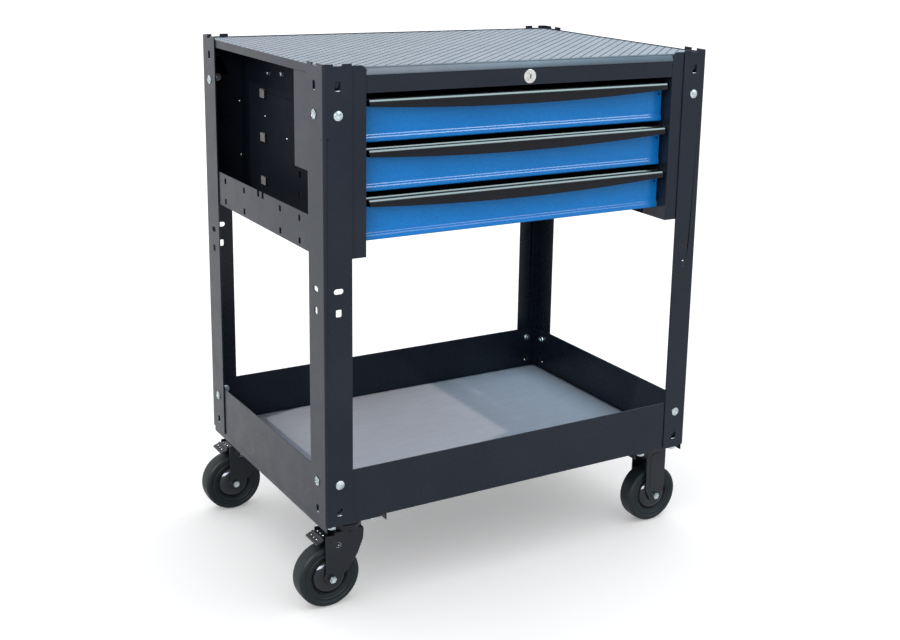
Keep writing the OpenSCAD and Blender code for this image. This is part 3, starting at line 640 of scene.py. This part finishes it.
def make_front(k):
    """A drawer front: a flat face over a double-rolled bead; lengths in mm from the face and from the foot."""
    node = f"drawer_front_{k}"
    lo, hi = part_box(node)
    height = (hi[2] - lo[2]) / MM
    face = 2.0
    outline = [(face + 0.05, height - 0.5), (face + 0.55, height), (face + 2.4, height), (face + 3.0, height - 0.6)]
    outline += [(face + 3.0, 0.6), (face + 2.4, 0.0), (0.9, 0.0)]
    outline += arc((1.9, 1.9), 1.9, 240, 180, 5)
    plain = len(outline)
    outline += [(0, 5.6), (0.02, 6.2), (0.12, 6.5), (1.0, 7.9), (1.06, 8.2), (1.06, 9.4), (1.08, 9.9), (1.2, 10.2)]
    outline += [(1.96, 11.4), (face, 11.7), (face, 13.0)]
    # the two slopes of the bead take the stronger reflecting copy of the paint, which brightens the lamp's highlight
    # there: painted highlight
    kinds = [0] * len(outline)
    for i in (plain + 2, plain + 7):
        kinds[i] = 1
    bm = bmesh.new()
    inset = 0.5 * MM
    sections = []
    for x, cut in ((lo[0], 0.35), (lo[0] + 0.25 * inset, 0.1), (lo[0] + inset, 0), (hi[0] - inset, 0),
                   (hi[0] - 0.25 * inset, 0.1), (hi[0], 0.35)):
        sections.append([(x, lo[1] + (y + (cut if y <= face else -cut if y > face + 2 else 0)) * MM, lo[2] + z * MM)
                         for y, z in outline])
    sweep(bm, sections, kinds)
    obj = mesh_object(node + "_rolled", bm)
    weigh_normals(obj)
    finish_piece(obj, node, (BEAD_HIGHLIGHT,))
    # gloss black rings where the front has its small holes, which the swept front lacks: their black is painted shade
    # of the holes
    hole_ring_in, hole_ring_up = 6 * MM, 44 * MM
    ring = [(0.5, -0.05), (1.2, -0.25), (1.7, -0.2), (1.9, 0.05), (1.9, 0.4), (0.5, 0.4)]
    for side, x in (("left", lo[0] + hole_ring_in), ("right", hi[0] - hole_ring_in)):
        bm = bmesh.new()
        lathe(bm, ring, (x, lo[1] + face * MM, lo[2] + hole_ring_up), 24)
        add_piece(mesh_object(f"front_hole_ring_{k}_{side}", bm), BODY_OF[node], "gloss_pull")


def make_pull(k):
    """A finger pull: sloping nose and back ridge with a painted highlight, dished channel and an arched skirt; mm from
    the CAD box.
    """
    node = f"drawer_pull_{k}"
    lo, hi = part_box(node)
    deep = (hi[1] - lo[1]) / MM
    half, mid_x = (hi[0] - lo[0]) / 2, (lo[0] + hi[0]) / 2
    drop = (hi[2] - lo[2]) / MM
    long = 2 * half / MM
    skirt_end, cut = 10.5, 4.0
    ridge = arc((deep - 1.1, -1.1), 1.1, 0, 110, 6) + [(deep - 2.2, -0.9), (deep - 2.9, -1.9), (deep - 3.4, -2.8)]
    dish = [(deep - 3.7, -4.4), (deep - 5.7, -6.4), (deep - 9.0, -6.9), (deep - 11.8, -5.6), (deep - 13.2, -3.6)]
    nose = arc((4.0, -2.3), 1.4, 30, 140, 6)
    nose += [(1.6, -3.3), (1.3, -4.2), (1.0, -5.2), (0.7, -6.3), (0.4, -7.4), (0.05, -8.5)]
    under = [(1.7, -8.6), (2.2, -8.4), (5.0, -7.6), (deep - 12.4, -7.4), (deep - 9.0, -8.6), (deep - 5.0, -8.2)]
    under += [(deep - 1.8, -7.2), (deep - 1.8, -12.0), (deep, -12.0)]
    tail = [(0.3, -8.9), (0.8, -9.0)]
    profile = ridge + dish + nose + tail
    # the ridge and the upper part of the nose take the stronger reflecting copy of the finish, which brightens the
    # lamp's highlight there: painted highlight
    kinds = [1] * (len(ridge) - 1) + [0] * (len(dish) + 1) + [1] * 8
    arc_r = (half * half / MM / MM + (drop - skirt_end) ** 2) / (2 * (drop - skirt_end))
    steps = 36
    stations = [0, 0.15, 0.5, 1.2, 2.2, 3.2, cut]
    inner = [cut + (long - 2 * cut) * t / steps for t in range(1, steps)]
    xs = stations + inner + [long - t for t in reversed(stations)]
    sections = []
    for x in xs:
        from_mid = x - half / MM
        skirt = max(skirt_end, drop - (arc_r - math.sqrt(max(arc_r ** 2 - from_mid ** 2, 0))))
        edge = 2 * max(0.0, cut - min(x, long - x))
        foot = [(0.8, -skirt + 0.3), (0.95, -skirt), (1.7, -skirt), (2.0, -skirt + 0.4)]
        points = profile + foot + under
        sections.append([(lo[0] + x * MM, lo[1] + max(y, edge) * MM, hi[2] + z * MM) for y, z in points])
    kinds += [0] * (len(sections[0]) - len(kinds))
    bm = bmesh.new()
    sweep(bm, sections, kinds)
    obj = mesh_object(node + "_moulded", bm)
    weigh_normals(obj)
    finish_piece(obj, node, (NOSE_HIGHLIGHT,))


for k in (1, 2, 3):
    make_front(k)
    make_pull(k)

# ---------------------------------------------------------------- tray mat, a sheet with soft edges


def make_tray_mat():
    """The loose mat: its sheet rises and dips a little, as a mat that was rolled does, and its edges are round."""
    lo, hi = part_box("tray_mat")
    bm = bmesh.new()
    nx, ny = 96, 72
    top = []
    for j in range(ny + 1):
        row = []
        for i in range(nx + 1):
            x, y = lo[0] + (hi[0] - lo[0]) * i / nx, lo[1] + (hi[1] - lo[1]) * j / ny
            edge = min(i, nx - i, j, ny - j)
            sag = 0.25 * MM * (1 - noise.noise(Vector((x * 7, y * 7, 3.1)))) / 2
            drop = 0.5 * MM if edge == 0 else 0.1 * MM if edge == 1 else 0
            row.append(bm.verts.new((x, y, hi[2] - sag - drop)))
        top.append(row)
    for j in range(ny):
        for i in range(nx):
            bm.faces.new((top[j][i], top[j][i + 1], top[j + 1][i + 1], top[j + 1][i])).smooth = True
    rim = [top[0][i] for i in range(nx)] + [top[j][nx] for j in range(ny)]
    rim += [top[ny][nx - i] for i in range(nx)] + [top[ny - j][0] for j in range(ny)]
    foot = [bm.verts.new((v.co.x, v.co.y, lo[2])) for v in rim]
    for i in range(len(rim)):
        j = (i + 1) % len(rim)
        bm.faces.new((foot[i], foot[j], rim[j], rim[i]))
    bm.faces.new(list(reversed(foot)))
    bmesh.ops.recalc_face_normals(bm, faces=bm.faces)
    finish_piece(mesh_object("tray_mat_sheet", bm), "tray_mat")


make_tray_mat()

# ---------------------------------------------------------------- small studs: rivets, nuts and pedal pips


def surface_at(node, origin, direction):
    """Where a ray first meets a CAD node, and the outward normal there."""
    bm = bmesh.new()
    bm.from_mesh(NODES[node].data)
    place, normal, _, _ = bvhtree.BVHTree.FromBMesh(bm).ray_cast(Vector(origin), Vector(direction))
    bm.free()
    return place, normal


def stud(name, node, origin, direction, profile, slot, sides=24):
    """A turned or six-sided stud on a CAD face: profile is (radius, height) in mm, from its foot to its top."""
    place, normal = surface_at(node, origin, direction)
    if place is None:
        return
    if normal.dot(Vector(direction)) > 0:
        normal = -normal
    turn = normal.to_track_quat("Z", "X").to_matrix()
    bm = bmesh.new()
    rings = []
    for r, h in profile:
        rings.append([
            bm.verts.new(place + turn @ Vector((r * MM * math.cos(a), r * MM * math.sin(a), h * MM)))
            for a in (2 * math.pi * k / sides for k in range(sides))
        ])
    for a, b in zip(rings, rings[1:]):
        for k in range(sides):
            n = (k + 1) % sides
            bm.faces.new((a[k], a[n], b[n], b[k])).smooth = sides > 6
    bm.faces.new(rings[-1]).smooth = sides > 6
    bm.faces.new(list(reversed(rings[0])))
    bmesh.ops.recalc_face_normals(bm, faces=bm.faces)
    add_piece(mesh_object(name, bm), BODY_OF[node], slot)


RIVET = [(2.2, -0.3), (2.2, 0.3), (1.9, 0.8), (1.2, 1.2), (0.5, 1.35)]
PIP = [(1.5, -0.3), (1.45, 0.2), (1.2, 0.6), (0.75, 0.85), (0.3, 0.95)]
FLANGE = [(5.2, -0.2), (5.2, 0.5), (4.4, 1.0), (3.6, 1.1)]
NUT = [(3.7, 0.6), (3.7, 3.6), (3.3, 4.0), (2.2, 4.0), (2.0, 3.2), (0.6, 3.1)]
PIN = [(1.1, 0.9), (1.1, 1.45), (0.9, 1.6), (0.4, 1.65)]
PIVOT = [(4.6, -0.2), (4.5, 0.25), (3.9, 0.4), (3.5, 0.15), (3.0, 0.2), (2.6, 0.8), (1.8, 1.15), (0.6, 1.25)]

# places as (y, z) on the recess walls, in metres in the shared frame; they match on both sides
WALL_STUDS = ((PIP, 0.0405, 0.681), (PIP, 0.1305, 0.705), (RIVET, 0.2145, 0.7215), (RIVET, 0.2145, 0.629),
              (RIVET, -0.105, 0.674))
WALL_NUTS = ((0.1135, 0.777), (0.0585, 0.782))
REAR_RIVET_HEIGHTS = (0.717, 0.625)
REAR_RIVET_OUT = 0.278
PIVOT_X, PIVOT_Z = -0.299, 0.103
# the swivel wheels trail past the left side, so the cabinet's middle is right of the box's middle
CABINET_X = (cad_lo[0] + cad_hi[0]) / 2 + 0.014


def add_wall_studs():
    """Rivets and nuts on the walls of the cabinet's recesses and on the rear columns."""
    for side, s in (("left", -1), ("right", 1)):
        wall, out = "cabinet_side_" + side, (-s, 0, 0)
        outside = CABINET_X + s * 0.5
        for k, (profile, y, z) in enumerate(WALL_STUDS):
            stud(f"wall_rivet_{side}_{k + 1}", wall, (outside, y, z), out, profile, "zinc")
        for k, (y, z) in enumerate(WALL_NUTS):
            stud(f"wall_nut_flange_{side}_{k + 1}", wall, (outside, y, z), out, FLANGE, "caster_paint")
            stud(f"wall_nut_{side}_{k + 1}", wall, (outside, y, z), out, NUT, "zinc", 6)
        for k, z in enumerate(REAR_RIVET_HEIGHTS):
            inside = (CABINET_X + s * REAR_RIVET_OUT, 0.1, z)
            stud(f"rear_rivet_{side}_{k + 1}", "columns_rear", inside, (0, 1, 0), RIVET, "zinc")


def add_caster_studs():
    """Bright zinc pips on the pedals, painted highlights of the pedals' dots, and a pivot with a ring and a pin on
    both cheeks of each yoke.
    """
    clear = 0.02
    for end in ("front", "back"):
        pedal, yoke = "brake_pedal_" + end, f"yoke_{end}_left"
        lo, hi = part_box(pedal)
        y_mid = (lo[1] + hi[1]) / 2
        # the pips are zinc so that they show as bright dots: painted highlights
        for row, dx in enumerate((5.4, 15.9)):
            for k in (-1, 0, 1):
                origin = (lo[0] + dx * MM, y_mid + 9 * k * MM, hi[2] + clear)
                stud(f"pedal_pip_{end}_{row + 1}_{k + 2}", pedal, origin, (0, 0, -1), PIP, "zinc")
        lo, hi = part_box(yoke)
        for side, y, inward in (("near", lo[1] - clear, 1), ("far", hi[1] + clear, -1)):
            origin, ray = (PIVOT_X, y, PIVOT_Z), (0, inward, 0)
            stud(f"yoke_pivot_{end}_{side}", yoke, origin, ray, PIVOT, "caster_paint", 32)
            stud(f"yoke_pin_{end}_{side}", yoke, origin, ray, PIN, "zinc")
            cheek, _ = surface_at(yoke, origin, ray)
            bm = bmesh.new()
            lathe(bm, [(3.9, -0.1), (4.5, -0.1), (4.35, -0.42 * inward), (4.05, -0.42 * inward)], cheek, 32)
            add_piece(mesh_object(f"yoke_ring_{end}_{side}", bm), BODY_OF[yoke], "zinc")


add_wall_studs()
add_caster_studs()

# ---------------------------------------------------------------- pressed tabs in the posts' holes, and rail linings

# (drop below the post's top, height) of the holes that carry a tab, and how far they are from the corner
TAB_HOLES = ((31, 13.5), (666, 12))
FROM_CORNER = {"x": 22.5, "y": 30}


def tab_section(h):
    """A tab bent inwards from the hole's top: (depth, height), with h half the hole's height."""
    return [(1.3, h + 0.4), (1.6, h - 1.5), (2.6, 0), (4.9, -h + 2.2), (5.2, -h + 1.4), (6.0, -h + 1.6),
            (5.7, -h + 2.8), (3.5, 0.4), (2.6, h - 1.3), (2.3, h + 0.4)]


def hole_edge_highlight_section(h):
    """A bright zinc strip along the lower edge of a hole, slightly proud of it: painted highlight of the cut edge."""
    return [(0.2, -h - 0.2), (0.15, -h + 0.6), (0.5, -h + 0.95), (1.4, -h + 0.9), (1.7, -h + 0.3), (1.7, -h - 0.2)]


def add_post_tabs():
    """Each post carries a tab behind its top hole and its foot hole, on both flanges; the edge below is a bright zinc
    strip, a painted highlight.
    """
    for part, shape, slot in (("tabs", tab_section, "black_paint"), ("edges", hole_edge_highlight_section, "zinc")):
        bm = bmesh.new()
        for post in ("front_left", "front_right", "back_left", "back_right"):
            lo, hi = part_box("post_" + post)
            sx, sy = (1 if "left" in post else -1), (1 if "front" in post else -1)
            corner = (lo[0] if sx > 0 else hi[0], lo[1] if sy > 0 else hi[1])
            for drop, tall in TAB_HOLES:
                section = shape(tall / 2)
                for along, across in FROM_CORNER.items():
                    rings = []
                    for w, shrink in ((-4.2, 0.35), (-3.8, 0), (3.8, 0), (4.2, 0.35)):
                        ring = []
                        for depth, z in section:
                            depth += shrink
                            x, y = (across + w, depth) if along == "x" else (depth, across + w)
                            ring.append((corner[0] + sx * x * MM, corner[1] + sy * y * MM, hi[2] + (z - drop) * MM))
                        rings.append(ring)
                    sweep(bm, rings)
        add_piece(mesh_object("post_hole_" + part, bm), BODY_OF["post_front_left"], slot)


add_post_tabs()


def line_side_rails():
    """An inner strip along the foot of each side rail, just behind its lower slots."""
    for side, s in (("left", 1), ("right", -1)):
        lo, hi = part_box("side_rail_" + side)
        face = lo[0] if s > 0 else hi[0]
        section = [(3.0, 1.2), (3.0, 30.8), (3.3, 31.4), (3.9, 31.4), (4.2, 30.8), (4.2, 1.2), (3.9, 0.8), (3.3, 0.8)]
        ends = (lo[1] + 0.5 * MM, hi[1] - 0.5 * MM)
        bm = bmesh.new()
        sweep(bm, [[(face + s * x * MM, y, lo[2] + z * MM) for x, z in section] for y in ends])
        add_piece(mesh_object(f"side_rail_{side}_lining", bm), BODY_OF["side_rail_" + side], "black_paint")


line_side_rails()

# ---------------------------------------------------------------- floor


def make_floor():
    """A pale studio floor, wide enough to fill the view, with a faint cloudy tone and a faint glow."""
    bm = bmesh.new()
    bmesh.ops.create_circle(bm, cap_ends=True, cap_tris=False, segments=96, radius=40)
    floor = mesh_object("floor", bm)
    f = Finish("pale_floor")
    f.color(f.blend(f.mapped(f.noise(0.8, 3), 0, 1), (0.93, 0.93, 0.93), (0.95, 0.95, 0.95)))
    f.rough(f.mapped(f.noise(3, 3), 0.75, 0.9))
    f.bsdf.inputs["Emission Color"].default_value = (1, 1, 1, 1)
    f.bsdf.inputs["Emission Strength"].default_value = 0.2
    floor.data.materials.append(f.mat)
    # the lamps light the object only: the floor takes the even light of the surround and soft contact shadows
    unlit = bpy.data.collections.new("floor_without_lamps")
    unlit.objects.link(floor)
    for lamp in LAMPS:
        lamp.light_linking.receiver_collection = unlit
    unlit.collection_objects[0].light_linking.link_state = "EXCLUDE"
    # one long box is there for the wheel hubs only
    hubs = bpy.data.collections.new("hubs_lit")
    for obj in scene.objects:
        if obj.name.startswith("hub_") and obj.name.endswith("_turned"):
            hubs.objects.link(obj)
    bpy.data.objects["wheel_light"].light_linking.receiver_collection = hubs


make_floor()

# ---------------------------------------------------------------- plain CAD nodes keep their shape and take the finish

for name, node in NODES.items():
    for i in range(len(node.data.materials)):
        node.data.materials[i] = MATERIALS[SLOT_OF[name]]
